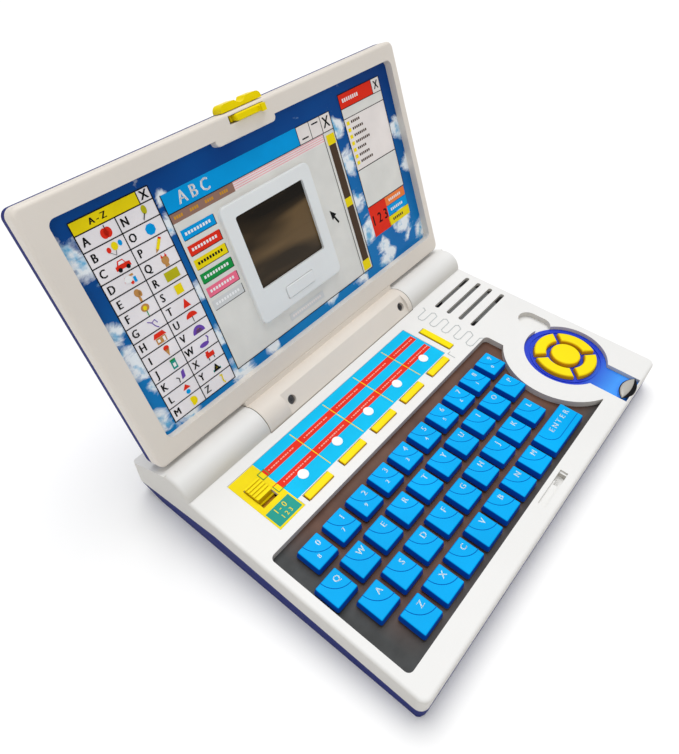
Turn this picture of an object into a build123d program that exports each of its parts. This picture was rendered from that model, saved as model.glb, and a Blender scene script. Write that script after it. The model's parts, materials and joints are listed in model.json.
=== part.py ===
from build123d import *
import os
from math import cos, radians, tan

os.makedirs("parts", exist_ok=True)

# ------------------------------------------------------------------
# Driving dimensions, in millimetres.
#
# The toy is drawn in a "deck" frame: x across the keyboard, y towards
# the hinge, z square to the keyboard, z = 0 on the top of the base.
# The base is a wedge, so at the end everything is tilted by TILT to put
# the underside flat on the table.
# ------------------------------------------------------------------
TILT = 4.0            # wedge angle between the keyboard and the table
TABLE_Y = -34.826     # centres the open toy on the origin
TABLE_Z = 27.666      # lifts the underside to z = 0

# base shell
BODY_W = 270.0
FRONT_Y = -82.0
REAR_Y = 122.0
CORNER_R = 5.0
WALL = 2.5
PART_Z = -13.0        # line where the white and the navy shells meet
DIP_Y = 52.0          # behind this the line runs down towards the rear
DIP_Z = -25.4         # its height at the rear wall
UNDER_Z = -22.0       # underside at the front edge

# hinge and lid
HINGE_Y = 81.87
HINGE_Z = -1.4
LEAN = 23.2           # how far the open lid leans back past upright
KNUCKLE_R = 12.0
BARREL_HALF = 71.8
BARREL_GAP = 0.6
LEDGE_Z = -3.4        # ledge behind the barrel
STUB_R = 4.0
STUB_LEN = 10.0
LID_HALF = 133.4
LID_R = 4.5
LID_BOTTOM = 13.9
LID_TOP = 159.7
LID_FACE = -3.2       # bezel face, measured from the hinge axis
CARD_FACE = -8.2      # printed card
LID_PART = -11.5      # line where the two lid shells meet
LID_BACK = -19.2
CARD_X0, CARD_X1 = -121.5, 127.0
CARD_V0, CARD_V1 = 26.2, 149.7

# keyboard
KEY_PITCH = 19.0
KEY_SIZE = 16.0
KEY_TOP = 1.4
KEY_SKIRT = -2.7
KEY_TRAVEL = 1.4
STEM = 6.0
PLATE_TOP = -4.4
PLATE_T = 2.0
ENTER_W = 37.5
KEY_ROWS = (
    ("0123456789", -111.0, 0.0),
    ("qwertyuiop", -119.5, -19.2),
    ("asdfghjkl", -111.0, -38.4),
    ("zxcvbnm", -103.6, -57.6),
)
ENTER_X, ENTER_Y = 40.3, -57.6
WELL_X0, WELL_X1 = -129.0, 82.0
WELL_Y0, WELL_Y1 = -69.0, 16.0

# thumb pad on the right
PAD_X, PAD_Y = 101.5, -33.5
PAD_R = 27.0
COLLAR_R = 40.0
HANDLE_X = 99.3
HANDLE_W = 23.0
HANDLE_END = -80.4
BADGE_Y, BADGE_HALF = -77.4, 11.0   # line between the two tips of the badge
BADGE_REAR, BADGE_FRONT = 5.1, 2.9  # how far it bulges to each side
TRAY_LOW, TRAY_TOP = -5.0, -2.6
ARC_IN, ARC_OUT = 12.4, 20.4
CENTRE_R = 9.6

# row of picture buttons, slider, power bar and speaker
MODE_X = (-81.4, -51.9, -22.4, 7.1, 36.6)
MODE_Y = 24.8
MODE_L, MODE_W = 20.0, 4.6
SLOT_X0, SLOT_X1 = -110.5, -99.5
SLOT_Y0, SLOT_Y1 = 38.2, 53.7
POWER_X, POWER_Y = 57.7, 40.2
POWER_W, POWER_L = 5.2, 24.4
SPEAKER_X, SPEAKER_Y, SPEAKER_R = 107.0, 43.8, 19.5

# latch
HOOK_V = 155.9        # from the hinge axis, up the lid
HOOK_X = 9.7
LATCH_TRAVEL = 3.5
BAR_X0, BAR_X1, BAR_HALF = -7.5, 14.0, 1.8
GRIP_X0, GRIP_X1, GRIP_H = -13.0, 16.0, 3.8
TAB_X0, TAB_X1, TAB_V = -24.0, 20.0, 146.1

# screen, placed up the lid
SCREEN_X0, SCREEN_X1 = -36.8, 34.6
SCREEN_V0, SCREEN_V1 = 46.0, 118.2
GLASS_X0, GLASS_X1 = -28.4, 26.2
GLASS_V0, GLASS_V1 = 65.7, 110.3
SCREEN_FACE = -5.6
GLASS_FACE = -7.4
CONTRAST_X, CONTRAST_V = -1.2, 55.0
CONTRAST_L, CONTRAST_W = 24.0, 7.4

# batteries and screws
CELL_R, CELL_L = 7.15, 50.0
CELL_Y = (34.0, 49.5, 65.0)
DOOR_HALF, DOOR_Y0, DOOR_Y1, DOOR_T = 33.0, 24.0, 76.0, 2.4
POSTS = ((-128.6, -75.4), (128.6, -75.4), (-124.5, 24.0),
         (124.5, 24.0), (-114.0, 100.0), (114.0, 100.0))
POST_R, SCREW_R, HEAD_R = 3.4, 1.5, 2.7
LID_POSTS = ((-127.5, 20.2), (127.5, 20.2), (-127.5, 153.7), (127.5, 153.7))
BARREL_SCREWS = (-48.5, 63.4)
BOARD_TOP = -13.0
BOARD_T = 1.6

CLEAR = 0.3


# ------------------------------------------------------------------
# Small helpers
# ------------------------------------------------------------------
def block(x0, x1, y0, y1, z0, z1):
    """Box between limits."""
    centre = Pos((x0 + x1) / 2, (y0 + y1) / 2, (z0 + z1) / 2)
    return centre * Box(x1 - x0, y1 - y0, z1 - z0)


def slab(x0, x1, y0, y1, z0, z1, radius):
    """Box between limits with its upright corners rounded."""
    outline = Pos((x0 + x1) / 2, (y0 + y1) / 2) * RectangleRounded(x1 - x0, y1 - y0, radius)
    return Pos(0, 0, z0) * extrude(outline, z1 - z0)


def disc(x, y, z0, z1, radius):
    """Upright cylinder."""
    return Pos(x, y, (z0 + z1) / 2) * Cylinder(radius, z1 - z0)


def rod(x0, x1, y, z, radius):
    """Cylinder lying along x."""
    return Pos((x0 + x1) / 2, y, z) * Rot(0, 90, 0) * Cylinder(radius, x1 - x0)


def prism(points, x0, x1):
    """Side profile given as (y, z) points, run along x."""
    outline = make_face(Polyline(*[(x0, y, z) for y, z in points], close=True))
    return extrude(outline, x1 - x0, dir=(1, 0, 0))


def raised(sketch, z0, z1):
    """Flat outline thickened between two heights."""
    return Pos(0, 0, z0) * extrude(sketch, z1 - z0)


def under(y):
    """Height of the underside of the wedge."""
    return UNDER_Z - tan(radians(TILT)) * (y - FRONT_Y)


def top_edges(part, z):
    """Edges lying at one height."""
    return part.edges().filter_by(lambda e: abs(e.center().Z - z) < 1e-4
                                  and abs(e.bounding_box().size.Z) < 1e-3)


# ------------------------------------------------------------------
# Shared outlines
# ------------------------------------------------------------------
def well_outline(grow):
    """Keyboard well: a rectangle with a round bite for the thumb pad collar."""
    width = WELL_X1 - WELL_X0 + 2 * grow
    depth = WELL_Y1 - WELL_Y0 + 2 * grow
    centre = Pos((WELL_X0 + WELL_X1) / 2, (WELL_Y0 + WELL_Y1) / 2)
    bite = Pos(PAD_X - 2, PAD_Y) * Circle(COLLAR_R - grow)
    return centre * RectangleRounded(width, depth, 3.0 + grow) - bite


def paddle_outline(grow):
    """Thumb pad tray: a round dish with a handle that runs to the front rim."""
    dish = Pos(PAD_X, PAD_Y) * Circle(PAD_R + grow)
    length = PAD_Y - HANDLE_END + grow
    handle = Pos(HANDLE_X, PAD_Y - length / 2) * Rectangle(HANDLE_W + 2 * grow, length)
    return dish + handle


def badge_outline():
    """Leaf-shaped badge across the end of the handle: two discs overlap in it."""
    rear_r = (BADGE_HALF ** 2 + BADGE_REAR ** 2) / (2 * BADGE_REAR)
    front_r = (BADGE_HALF ** 2 + BADGE_FRONT ** 2) / (2 * BADGE_FRONT)
    rear = Pos(HANDLE_X, BADGE_Y + BADGE_REAR - rear_r) * Circle(rear_r)
    front = Pos(HANDLE_X, BADGE_Y - BADGE_FRONT + front_r) * Circle(front_r)
    return rear & front


def finger_outline(grow):
    """Finger groove that runs from the back of the dish."""
    return Pos(PAD_X + 15.5, -2.5) * RectangleRounded(15 + 2 * grow, 23 + 2 * grow, 7.4 + grow)


def arc_outline(grow):
    """Four arc-shaped direction pads around the middle of the dish."""
    ring = Circle(ARC_OUT + grow) - Circle(ARC_IN - grow)
    gap = 3.0 - 2 * grow
    cross = Rot(0, 0, 45) * Rectangle(60, gap) + Rot(0, 0, 135) * Rectangle(60, gap)
    return Pos(PAD_X, PAD_Y) * (ring - cross)


# ------------------------------------------------------------------
# Base shells
# ------------------------------------------------------------------
SLOPE = ((87.3, 9.3), (121.0, -8.0))


def slope_z(y):
    """Height of the sloping back of the base."""
    (ya, za), (yb, zb) = SLOPE
    return za + (zb - za) * (y - ya) / (yb - ya)


def make_upper_case():
    half = BODY_W / 2
    shell = slab(-half, half, FRONT_Y, REAR_Y, DIP_Z, 0, CORNER_R)
    shell = fillet(top_edges(shell, 0), 2.0)
    back_y = SLOPE[0][0] + SLOPE[0][1] / ((SLOPE[0][1] - SLOPE[1][1]) / (SLOPE[1][0] - SLOPE[0][0]))
    shell &= prism([(FRONT_Y - 1, PART_Z), (FRONT_Y - 1, 1), (back_y - 2, 1),
                    (121, -8), (REAR_Y, -10), (REAR_Y, DIP_Z), (DIP_Y, PART_Z)],
                   -half - 1, half + 1)

    # hinge knuckles at both ends, each with a sloping back
    inner = BARREL_HALF + BARREL_GAP
    for side in (-1, 1):
        knuckle = rod(inner, half, HINGE_Y, HINGE_Z, KNUCKLE_R)
        knuckle = fillet(knuckle.edges().sort_by(Axis.X)[-1], 2.5)
        knuckle += prism([(HINGE_Y, HINGE_Z), SLOPE[0], (112, slope_z(112)), (112, PART_Z),
                          (HINGE_Y, PART_Z)], inner, half)
        knuckle &= block(0, half + 1, FRONT_Y, REAR_Y, PART_Z, 20)
        shell += knuckle if side > 0 else mirror(knuckle, Plane.YZ)

    # hollow inside
    low = DIP_Z - 1
    hollow = slab(-half + WALL, half - WALL, FRONT_Y + WALL, REAR_Y - WALL, low, -WALL,
                  CORNER_R - WALL)
    hollow &= prism([(FRONT_Y, low), (FRONT_Y, -WALL), (back_y - 3.5, -WALL), (118.4, -10),
                     (REAR_Y - WALL, -12), (REAR_Y - WALL, low)], -half, half)
    shell -= hollow
    for x0, x1 in ((-half + 5, -inner - 18), (inner + 18, half - 5)):
        shell -= rod(x0, x1, HINGE_Y, HINGE_Z, KNUCKLE_R - WALL)

    # bearings and the saddle behind the lid barrel, lowered so the lid can lean back
    for x0, x1 in ((-inner - 16, -inner), (inner, inner + 16)):
        shell += rod(x0, x1, HINGE_Y, HINGE_Z, KNUCKLE_R)
    saddle = rod(-inner, inner, HINGE_Y, HINGE_Z, KNUCKLE_R + BARREL_GAP + 2)
    saddle &= prism([(60, -20), (60, 0), (back_y, 0), (back_y, -20)], -inner, inner)
    shell += saddle
    shell += block(-inner, inner, 88, 110, LEDGE_Z - 3, LEDGE_Z)
    shell -= block(-inner, inner, 88, 112, LEDGE_Z, 4)
    shell -= rod(-inner, inner, HINGE_Y, HINGE_Z, KNUCKLE_R + BARREL_GAP)
    shell -= rod(-inner - 11, inner + 11, HINGE_Y, HINGE_Z, STUB_R + 0.05)

    # keyboard well with its walls
    shell += raised(well_outline(2), PLATE_TOP, -1.5)
    shell -= raised(well_outline(0), PLATE_TOP - 1, 1)

    # pocket for the thumb pad tray and the finger groove
    shell += raised(paddle_outline(1.5), TRAY_LOW - 1.5, -1.5)
    shell += raised(finger_outline(1.6), TRAY_LOW - 0.5, -1.5)
    shell -= raised(finger_outline(0), -3.9, 1)
    shell -= raised(paddle_outline(0.2), TRAY_LOW, 1)
    shell -= disc(PAD_X, PAD_Y, TRAY_LOW - 2, 1, 22.6)

    # recess for the printed panel, openings for the buttons
    shell -= block(-114.2, 50.2, 28.3, 62.6, -0.5, 1)
    shell -= block(-114.2, -94.9, 22.6, 28.4, -0.5, 1)
    for x in MODE_X:
        shell -= slab(x - MODE_L / 2 - CLEAR, x + MODE_L / 2 + CLEAR, MODE_Y - MODE_W / 2 - CLEAR,
                      MODE_Y + MODE_W / 2 + CLEAR, -3, 1, 0.8)
    shell -= block(SLOT_X0, SLOT_X1, SLOT_Y0, SLOT_Y1, -3, 1)
    shell -= slab(POWER_X - POWER_W / 2 - CLEAR, POWER_X + POWER_W / 2 + CLEAR,
                  POWER_Y - POWER_L / 2 - CLEAR, POWER_Y + POWER_L / 2 + CLEAR, -3, 1, 0.8)
    for step in range(4):
        y = 58.4 - 9.8 * step
        shell -= slab(85.0, 129.0, y - 1.6, y + 1.6, -3, 1, 1.5)

    # catch for the latch: shallow groove, square hole and narrow slot over a closed pocket
    y = HINGE_Y - HOOK_V
    shell += block(2.3, 14.2, y - 3.6, y + 3.0, -5.6, -2)
    shell -= block(-13.4, 14.4, y - 2.3, y + 2.3, -1.2, 1)
    shell -= block(6.4, 13, y - 2.3, y + 2.3, -4, 1)
    shell -= block(3.5, 8, y - 1.3, y + 1.3, -4, 1)
    shell -= block(3.5, 13, y - 2.4, y + 2.4, -4.4, -2.1)

    # screw posts
    for x, y in POSTS:
        shell += disc(x, y, PART_Z, -1.5, POST_R)
        shell -= disc(x, y, PART_Z - 1, -4.5, SCREW_R + 0.05)
    return shell


def make_lower_case():
    half = BODY_W / 2
    rear = [(DIP_Y, PART_Z), (REAR_Y, DIP_Z), (REAR_Y - 1, DIP_Z - 2), (104, under(104))]
    front = [(FRONT_Y + 1.5, under(FRONT_Y + 1.5)), (FRONT_Y, -20), (FRONT_Y, PART_Z)]
    shell = slab(-half, half, FRONT_Y, REAR_Y, -40, PART_Z, CORNER_R)
    shell &= prism(rear + front, -half, half)
    # sides drawn in a little towards the underside
    taper = make_face(Polyline((-half, 0, PART_Z), (half, 0, PART_Z), (half - 0.4, 0, -21),
                               (half - 1.6, 0, -37), (-half + 1.6, 0, -37), (-half + 0.4, 0, -21),
                               close=True))
    shell &= Pos(0, REAR_Y + 1, 0) * extrude(taper, REAR_Y - FRONT_Y + 2, dir=(0, -1, 0))

    hollow = slab(-half + WALL, half - WALL, FRONT_Y + WALL, REAR_Y - WALL, -40, PART_Z + 1,
                  CORNER_R - WALL)
    hollow &= prism([(REAR_Y - WALL, PART_Z + 1), (REAR_Y - WALL, DIP_Z), (103, under(103) + WALL),
                     (FRONT_Y + 4, under(FRONT_Y + 4) + WALL), (FRONT_Y + WALL, -19),
                     (FRONT_Y + WALL, PART_Z + 1)], -half, half)
    inner = make_face(Polyline((-half + 2.5, 0, 0), (half - 2.5, 0, 0), (half - 3, 0, -21),
                               (half - 4.2, 0, -37), (-half + 4.2, 0, -37), (-half + 3, 0, -21),
                               close=True))
    hollow &= Pos(0, REAR_Y + 1, 0) * extrude(inner, REAR_Y - FRONT_Y + 2, dir=(0, -1, 0))
    shell -= hollow

    # posts under the circuit board
    for x in (-70, 70):
        for y in (-52, 6):
            shell += disc(x, y, under(y) + 1, BOARD_TOP - BOARD_T, 4)

    # screw posts with counterbored holes from below
    for x, y in POSTS:
        shell += disc(x, y, under(y) + 1, PART_Z, POST_R)
        shell -= disc(x, y, under(y) - 3, PART_Z + 1, SCREW_R + CLEAR)
        shell -= disc(x, y, under(y) - 3, under(y) + 2.2, HEAD_R + CLEAR)

    # battery opening with a ledge for the door, and walls around the cells
    shell += door_block(DOOR_HALF + 2.5, 2.5, 0.5, 6.0)
    shell -= door_block(DOOR_HALF - 2.5, -2.0, -1.0, 8.0)
    shell -= door_block(DOOR_HALF, 0, -1.0, DOOR_T)
    return shell


def door_block(half, grow, low, high):
    """Slice parallel to the underside, over the battery opening."""
    y0, y1 = DOOR_Y0 - grow, DOOR_Y1 + grow
    return prism([(y0, under(y0) + low), (y1, under(y1) + low), (y1, under(y1) + high),
                  (y0, under(y0) + high)], -half, half)


def make_battery_door():
    door = door_block(DOOR_HALF - CLEAR, -CLEAR, 0, DOOR_T)
    # thumb ribs on the outside
    for step in range(4):
        y = 31.0 + 3.2 * step
        door -= prism([(y, under(y) - 1), (y + 1.4, under(y) - 1), (y + 1.4, under(y) + 0.6),
                       (y, under(y) + 0.6)], -12, 12)
    return door


def make_batteries():
    cells = []
    for y in CELL_Y:
        z = under(y) + DOOR_T / cos(radians(TILT)) + CELL_R / cos(radians(TILT))
        cell = rod(-CELL_L / 2, CELL_L / 2 - 1.5, y, z, CELL_R)
        cell += rod(CELL_L / 2 - 1.5, CELL_L / 2, y, z, 2.6)
        cells.append(cell)
    return Compound(cells)


def make_case_screws():
    screws = []
    for x, y in POSTS:
        low = under(y) + 2.2 - 1.8
        screw = disc(x, y, low, low + 1.8, HEAD_R)
        screw += disc(x, y, low + 1.8, -5.2, SCREW_R)
        screw -= block(x - 1.6, x + 1.6, y - 0.35, y + 0.35, low - 1, low + 0.8)
        screw -= block(x - 0.35, x + 0.35, y - 1.6, y + 1.6, low - 1, low + 0.8)
        screws.append(screw)
    return Compound(screws)


# ------------------------------------------------------------------
# Keyboard and electronics
# ------------------------------------------------------------------
def key_places():
    """Centre of every square key, by name."""
    places = {}
    for letters, x0, y in KEY_ROWS:
        for step, letter in enumerate(letters):
            places[letter] = (x0 + KEY_PITCH * step, y)
    return places


def make_key(width):
    cap = Pos(0, 0, KEY_SKIRT) * extrude(RectangleRounded(width, KEY_SIZE, 1.4),
                                         KEY_TOP - KEY_SKIRT, taper=10)
    cap = fillet(top_edges(cap, KEY_TOP), 0.8)
    stem_half = STEM / 2
    low = PLATE_TOP - PLATE_T - 1.4
    key = cap + block(-stem_half, stem_half, -stem_half, stem_half, low, KEY_SKIRT + 1)
    # foot that keeps the key under the plate
    key += block(-stem_half - 1.2, stem_half + 1.2, -stem_half, stem_half, low, low + 1.1)
    return key


def make_key_plate():
    plate = raised(well_outline(1.9), PLATE_TOP - PLATE_T, PLATE_TOP)
    hole = STEM / 2 + CLEAR
    for x, y in list(key_places().values()) + [(ENTER_X, ENTER_Y)]:
        plate -= block(x - hole, x + hole, y - hole, y + hole, PLATE_TOP - 3, PLATE_TOP + 1)
    return plate


def make_rubber_mat():
    mat = slab(-128, 66, -67, 12, BOARD_TOP, BOARD_TOP + 1.2, 3)
    for x, y in list(key_places().values()) + [(ENTER_X, ENTER_Y)]:
        mat += disc(x, y, BOARD_TOP + 1.2, BOARD_TOP + 3.6, 3.2)
    return mat


def make_circuit_board():
    low = BOARD_TOP - BOARD_T
    board = slab(-129, 124.5, -70.5, 17, low, BOARD_TOP, 2)
    board += block(20, 44, -30, -6, low - 2, low)
    board += block(-40, -26, -28, -18, low - 1.6, low)
    board += disc(64, -44, low - 3.0, low, 4)
    return board


def make_speaker():
    speaker = disc(SPEAKER_X, SPEAKER_Y, -5.5, -WALL, SPEAKER_R)
    speaker += Pos(SPEAKER_X, SPEAKER_Y, -8.0) * Cone(11, SPEAKER_R - 2, 5)
    speaker += disc(SPEAKER_X, SPEAKER_Y, -15.5, -10, 11)
    return speaker


def make_dpad_housing():
    tray = raised(paddle_outline(0), TRAY_LOW, TRAY_TOP)
    # ring groove around the pads
    tray -= raised(Pos(PAD_X, PAD_Y) * (Circle(23.6) - Circle(22.6)), TRAY_TOP - 0.5, 0)
    tray -= raised(arc_outline(0.3), TRAY_LOW - 1, 2)
    tray -= disc(PAD_X, PAD_Y, TRAY_LOW - 1, 2, CENTRE_R + 0.3)
    tray += raised(badge_outline(), TRAY_TOP - 0.5, -0.4)
    return tray


def make_direction_buttons():
    web = raised(Pos(PAD_X, PAD_Y) * (Circle(21.9) - Circle(ARC_IN - 0.6)), -6.8, -5.3)
    pads = raised(arc_outline(0), -5.3, 0.6)
    pads = fillet(top_edges(pads, 0.6), 1.4)
    return web + pads


def make_centre_button():
    cap = disc(PAD_X, PAD_Y, -5.3, 1.0, CENTRE_R)
    cap = fillet(top_edges(cap, 1.0), 1.4)
    return cap + disc(PAD_X, PAD_Y, -6.8, -5.3, CENTRE_R + 1)


def make_mode_buttons():
    strip = block(MODE_X[0] - 12, MODE_X[-1] + 12, MODE_Y - 3.4, MODE_Y + 3.4, -4.2, -2.8)
    for x in MODE_X:
        nub = slab(x - MODE_L / 2, x + MODE_L / 2, MODE_Y - MODE_W / 2, MODE_Y + MODE_W / 2,
                   -3, 1.2, 0.6)
        strip += fillet(top_edges(nub, 1.2), 0.5)
    return strip


def make_power_button():
    bar = slab(POWER_X - POWER_W / 2, POWER_X + POWER_W / 2, POWER_Y - POWER_L / 2,
               POWER_Y + POWER_L / 2, -3, 0.9, 0.6)
    bar = fillet(top_edges(bar, 0.9), 0.5)
    return bar + block(POWER_X - 4, POWER_X + 4, POWER_Y - 14, POWER_Y + 14, -4.2, -2.8)


def make_mode_slider():
    x = (SLOT_X0 + SLOT_X1) / 2
    y1 = SLOT_Y1 - 0.4
    y0 = y1 - 10.8
    knob = slab(x - 5.2, x + 5.2, y0, y1, -3, 2.0, 0.8)
    # finger ridges
    for step in range(4):
        y = y0 + 1.9 + 2.2 * step
        knob -= block(x - 6, x + 6, y, y + 0.9, 1.3, 3)
    return knob + block(x - 7.2, x + 7.2, y0 - 1, y1 + 2, -4.3, -2.8)


# ------------------------------------------------------------------
# Lid, drawn flat: x across, y up the lid from the hinge axis, z out of
# the face towards the user
# ------------------------------------------------------------------
def make_lid_front():
    lid = slab(-LID_HALF, LID_HALF, LID_BOTTOM, LID_TOP, LID_PART, LID_FACE, LID_R)
    lid = fillet(top_edges(lid, LID_FACE), 2.2)
    lid -= slab(-LID_HALF + WALL, LID_HALF - WALL, LID_BOTTOM + WALL, LID_TOP - WALL,
                LID_PART - 1, LID_FACE - WALL, 2)
    # collar around the card, with a tab that carries the latch
    lid += slab(CARD_X0 - 2.2, CARD_X1 + 2.2, CARD_V0 - 2.2, CARD_V1 + 2.2, CARD_FACE,
                LID_FACE - 1, 6)
    lid -= slab(CARD_X0, CARD_X1, CARD_V0, CARD_V1, CARD_FACE - 1, LID_FACE + 1, 4)
    tab = slab(TAB_X0, TAB_X1, TAB_V, CARD_V1 + 6, CARD_FACE, LID_FACE, 2.6)
    lid += fillet(top_edges(tab, LID_FACE), 0.8)

    # barrel that turns between the knuckles, joined to the lower rim
    barrel = rod(-BARREL_HALF, BARREL_HALF, 0, 0, KNUCKLE_R)
    barrel += block(-BARREL_HALF, BARREL_HALF, 0, LID_BOTTOM + 1, LID_PART, LID_FACE)
    # flat on the user's side
    flat = Rot(-20, 0, 0) * block(-54, 68, -12, 12, KNUCKLE_R - 2.2, KNUCKLE_R + 4)
    barrel -= flat
    barrel += rod(-BARREL_HALF - STUB_LEN, BARREL_HALF + STUB_LEN, 0, 0, STUB_R)
    for x in BARREL_SCREWS:
        barrel -= Rot(-20, 0, 0) * disc(x, 0, 6.2, 20, HEAD_R + CLEAR)
        barrel -= Rot(-20, 0, 0) * disc(x, 0, -4.2, 20, SCREW_R + 0.05)
    lid += barrel

    # latch: slot in the face, slot in the top edge
    slot_half = BAR_HALF + CLEAR
    lid -= block(BAR_X0 - LATCH_TRAVEL - CLEAR, BAR_X1 + CLEAR, HOOK_V - slot_half,
                 HOOK_V + slot_half, LID_FACE - 6.6, LID_FACE + 1)
    lid -= block(BAR_X0 - 1 - LATCH_TRAVEL - CLEAR, 8.5, HOOK_V - slot_half, LID_TOP + 1,
                 LID_FACE - 6.6, LID_FACE - 2.4)

    # screw posts
    for x, v in LID_POSTS:
        lid += disc(x, v, LID_PART, LID_FACE - 2, 2.9)
        lid -= disc(x, v, LID_PART - 1, LID_FACE - 2.6, SCREW_R + 0.05)
    return lid


def make_lid_back():
    lid = slab(-LID_HALF, LID_HALF, LID_BOTTOM, LID_TOP, LID_BACK, LID_PART, LID_R)
    lid = fillet(top_edges(lid, LID_BACK), 4.0)
    lid -= slab(-LID_HALF + WALL, LID_HALF - WALL, LID_BOTTOM + WALL, LID_TOP - WALL,
                LID_BACK + WALL, LID_PART + 1, 2)
    for x, v in LID_POSTS:
        lid += disc(x, v, LID_BACK + 1, LID_PART, 3.6)
        lid -= disc(x, v, LID_BACK - 1, LID_PART + 1, SCREW_R + CLEAR)
        lid -= disc(x, v, LID_BACK - 1, LID_BACK + 2.2, HEAD_R + CLEAR)
    # ribs that press the card against its collar
    for x in (-90, 90):
        lid += block(x - 1, x + 1, 40, 136, LID_BACK + 1, CARD_FACE - 1.0)
    return lid


def make_screen_card():
    card = slab(CARD_X0 - 1.4, CARD_X1 + 1.4, CARD_V0 - 1.4, CARD_V1 + 1.4, CARD_FACE - 1,
                CARD_FACE, 4)
    card -= block(SCREEN_X0 + 2.7, SCREEN_X1 - 2.7, SCREEN_V0 + 2.7, SCREEN_V1 - 2.7,
                  CARD_FACE - 2, CARD_FACE + 1)
    return card


def make_lcd_frame():
    frame = slab(SCREEN_X0, SCREEN_X1, SCREEN_V0, SCREEN_V1, CARD_FACE, SCREEN_FACE, 4.2)
    frame = fillet(top_edges(frame, SCREEN_FACE), 0.9)
    low = CARD_FACE - 6
    frame += block(SCREEN_X0 + 3, SCREEN_X1 - 3, SCREEN_V0 + 3, SCREEN_V1 - 3, low + 1, CARD_FACE)
    frame -= slab(GLASS_X0, GLASS_X1, GLASS_V0, GLASS_V1, low, 0, 1.4)
    frame -= block(GLASS_X0 - 2, GLASS_X1 + 2, GLASS_V0 - 2, GLASS_V1 + 2, low, GLASS_FACE)
    frame -= block(SCREEN_X0 + 5, SCREEN_X1 - 5, SCREEN_V0 + 5, GLASS_V0 - 4, low, CARD_FACE + 0.3)
    frame -= slab(CONTRAST_X - CONTRAST_L / 2 - CLEAR, CONTRAST_X + CONTRAST_L / 2 + CLEAR,
                  CONTRAST_V - CONTRAST_W / 2 - CLEAR, CONTRAST_V + CONTRAST_W / 2 + CLEAR,
                  low, 0, 1.4)
    return frame


def make_lcd_window():
    return block(GLASS_X0 - 1.9, GLASS_X1 + 1.9, GLASS_V0 - 1.9, GLASS_V1 + 1.9,
                 GLASS_FACE - 2.3, GLASS_FACE)


def make_contrast_button():
    cap = slab(CONTRAST_X - CONTRAST_L / 2, CONTRAST_X + CONTRAST_L / 2,
               CONTRAST_V - CONTRAST_W / 2, CONTRAST_V + CONTRAST_W / 2,
               CARD_FACE - 0.3, SCREEN_FACE + 0.6, 1.2)
    cap = fillet(top_edges(cap, SCREEN_FACE + 0.6), 0.4)
    return cap + block(CONTRAST_X - 14, CONTRAST_X + 14, CONTRAST_V - 3.6, CONTRAST_V + 5.0,
                       CARD_FACE - 1.3, CARD_FACE)


def make_latch():
    # carriage behind the lid face
    latch = block(BAR_X0 - 1, 8.2, HOOK_V - 1.5, LID_TOP + 1, LID_FACE - 6.3, LID_FACE - 2.7)
    # rounded bar that shows on the face
    bar = slab(BAR_X0, BAR_X1, HOOK_V - BAR_HALF, HOOK_V + BAR_HALF, LID_FACE - 5,
               LID_FACE + 2.2, BAR_HALF - 0.05)
    latch += fillet(top_edges(bar, LID_FACE + 2.2), 0.8)
    # hook: narrow neck with a wider head
    latch += block(HOOK_X - 1.5, HOOK_X + 1.5, HOOK_V - 1.0, HOOK_V + 1.0, LID_FACE, 2.2)
    latch += block(HOOK_X - 1.5, HOOK_X + 1.5, HOOK_V - 1.9, HOOK_V + 1.9, 1.0, 2.2)
    # grip above the top edge, two humps with a dip between
    top = LID_TOP + 0.4 + GRIP_H
    grip = block(GRIP_X0, GRIP_X1, LID_TOP + 0.4, top, LID_FACE - 9, LID_FACE - 1.5)
    grip = fillet(grip.edges().filter_by(Axis.Z).sort_by(Axis.Y)[-2:], 3.2)
    dip = Pos((GRIP_X0 + GRIP_X1) / 2, top + 2.4, LID_FACE - 5) * Cylinder(4.6, 12)
    grip = fillet((grip - dip).edges().filter_by(Axis.Z).sort_by(Axis.Y)[-2:], 1.2)
    return latch + grip


def make_lid_screws():
    screws = []
    for x, v in LID_POSTS:
        low = LID_BACK + 2.2 - 1.8
        screw = disc(x, v, low, low + 1.8, HEAD_R) + disc(x, v, low + 1.8, LID_FACE - 3.2, SCREW_R)
        screw -= block(x - 1.6, x + 1.6, v - 0.35, v + 0.35, low - 1, low + 0.8)
        screw -= block(x - 0.35, x + 0.35, v - 1.6, v + 1.6, low - 1, low + 0.8)
        screws.append(screw)
    for x in BARREL_SCREWS:
        screw = disc(x, 0, 6.2, 8.0, HEAD_R) + disc(x, 0, -3.6, 6.2, SCREW_R)
        screw -= block(x - 1.6, x + 1.6, -0.35, 0.35, 7.2, 9)
        screw -= block(x - 0.35, x + 0.35, -1.6, 1.6, 7.2, 9)
        screws.append(Rot(-20, 0, 0) * screw)
    return Compound(screws)


# ------------------------------------------------------------------
# Placing and writing
# ------------------------------------------------------------------
TO_TABLE = Pos(0, TABLE_Y, TABLE_Z) * Rot(TILT, 0, 0)
OPEN_LID = Pos(0, HINGE_Y, HINGE_Z) * Rot(90 - LEAN, 0, 0)

BASE_PARTS = {
    "upper_case": make_upper_case,
    "lower_case": make_lower_case,
    "battery_door": make_battery_door,
    "batteries": make_batteries,
    "case_screws": make_case_screws,
    "key_plate": make_key_plate,
    "rubber_mat": make_rubber_mat,
    "circuit_board": make_circuit_board,
    "speaker": make_speaker,
    "dpad_housing": make_dpad_housing,
    "direction_buttons": make_direction_buttons,
    "centre_button": make_centre_button,
    "mode_buttons": make_mode_buttons,
    "power_button": make_power_button,
    "mode_slider": make_mode_slider,
}
LID_PARTS = {
    "lid_front": make_lid_front,
    "lid_back": make_lid_back,
    "screen_card": make_screen_card,
    "lcd_frame": make_lcd_frame,
    "lcd_window": make_lcd_window,
    "contrast_button": make_contrast_button,
    "latch": make_latch,
    "lid_screws": make_lid_screws,
}


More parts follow.
